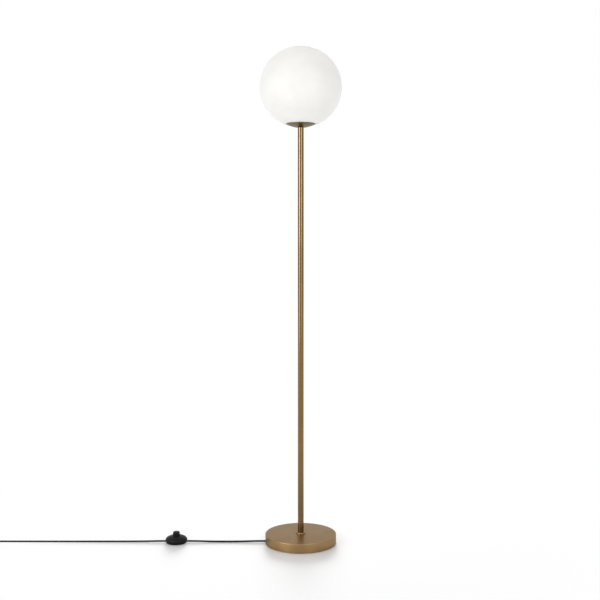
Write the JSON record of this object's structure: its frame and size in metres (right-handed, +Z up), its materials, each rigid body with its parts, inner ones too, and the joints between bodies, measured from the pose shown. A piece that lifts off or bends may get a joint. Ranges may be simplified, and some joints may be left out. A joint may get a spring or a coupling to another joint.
{
  "type": "floor lamp",
  "caption": "Floor lamp: opal glass globe in a shallow brass cup on a slim brass pole with a round weighted base, and a black cord with a foot switch, coil and plug.",
  "frame": {"origin": "on the floor, under the middle of the base and the pole", "axes": "+Z up the pole, +Y away from the viewer of the reference picture, +X to the viewer's right; the cord leaves the base along -X"},
  "size_m": [1.2402, 0.25, 1.5085],
  "materials": {
    "brass": "aged satin, lacquered",
    "iron": "rough cast",
    "pad": "matte black",
    "steel": "zinc plated",
    "spring_steel": "bright spring steel",
    "black_plastic": "satin black",
    "silicone": "milky translucent",
    "porcelain": "unglazed white",
    "contact_brass": "bright",
    "bulb_insulation": "black vitrite",
    "bulb_metal": "bright",
    "white_plastic": "satin white",
    "bulb_diffuser": "frosted white",
    "opal_glass": "opal white, satin outside",
    "cord": "black flexible sheath",
    "plated_pins": "nickel plated"
  },
  "bodies": {
    "lamp": {"base_cover": "brass", "base_weight": "iron", "base_pad": "pad", "base_washer": "steel", "base_lock_washer": "steel", "base_nut": "steel", "base_stud": "steel", "cord_exit_bush": "black_plastic", "pole_tube": "brass", "pole_collar": "brass", "pole_foot_insert": "steel", "pole_top_insert": "steel", "head_nipple": "steel", "globe_dish": "brass", "globe_spring": "spring_steel", "dish_washer": "steel", "dish_nut": "steel", "globe_seat_ring": "silicone", "lampholder_cap": "black_plastic", "lampholder_body": "black_plastic", "lampholder_block": "porcelain", "lampholder_screws": "contact_brass", "lampholder_sleeve": "contact_brass", "lampholder_contact": "contact_brass", "inner_cord": "cord", "switch_cover": "black_plastic", "switch_bottom": "black_plastic", "switch_cover_screws": "steel", "switch_feet": "pad", "switch_block": "white_plastic", "switch_terminals": "contact_brass", "switch_terminal_screws": "steel", "switch_clamps": "black_plastic", "switch_clamp_screws": "steel", "switch_inner_cords": "cord", "switch_spring": "spring_steel", "cord_base_to_switch": "cord", "cord_switch_to_coil": "cord", "cord_coil": "cord", "cord_tie": "pad", "cord_coil_to_plug": "cord", "plug_boot": "cord", "plug_body": "black_plastic", "plug_pins": "plated_pins", "plug_pin_sleeves": "black_plastic"},
    "globe": {"globe": "opal_glass"},
    "bulb": {"bulb_contact": "contact_brass", "bulb_insulator": "bulb_insulation", "bulb_cap": "bulb_metal", "bulb_body": "white_plastic", "bulb_board": "bulb_metal", "bulb_dome": "bulb_diffuser"},
    "button": {"switch_button": "black_plastic"}
  },
  "joints": [
    {"name": "globe_lift", "type": "slide", "parent": "lamp", "child": "globe", "axis": [0, 0, 1], "range_m": [0, 0.165]},
    {"name": "bulb_out", "type": "slide", "parent": "lamp", "child": "bulb", "axis": [0, 0, 1], "range_m": [0, 0.027]},
    {"name": "switch_press", "type": "slide", "parent": "lamp", "child": "button", "axis": [0, 0, -1], "range_m": [0, 0.004], "stiffness_N_per_m": 1000, "springref_m": -0.002, "deforming": ["switch_spring"]}
  ]
}
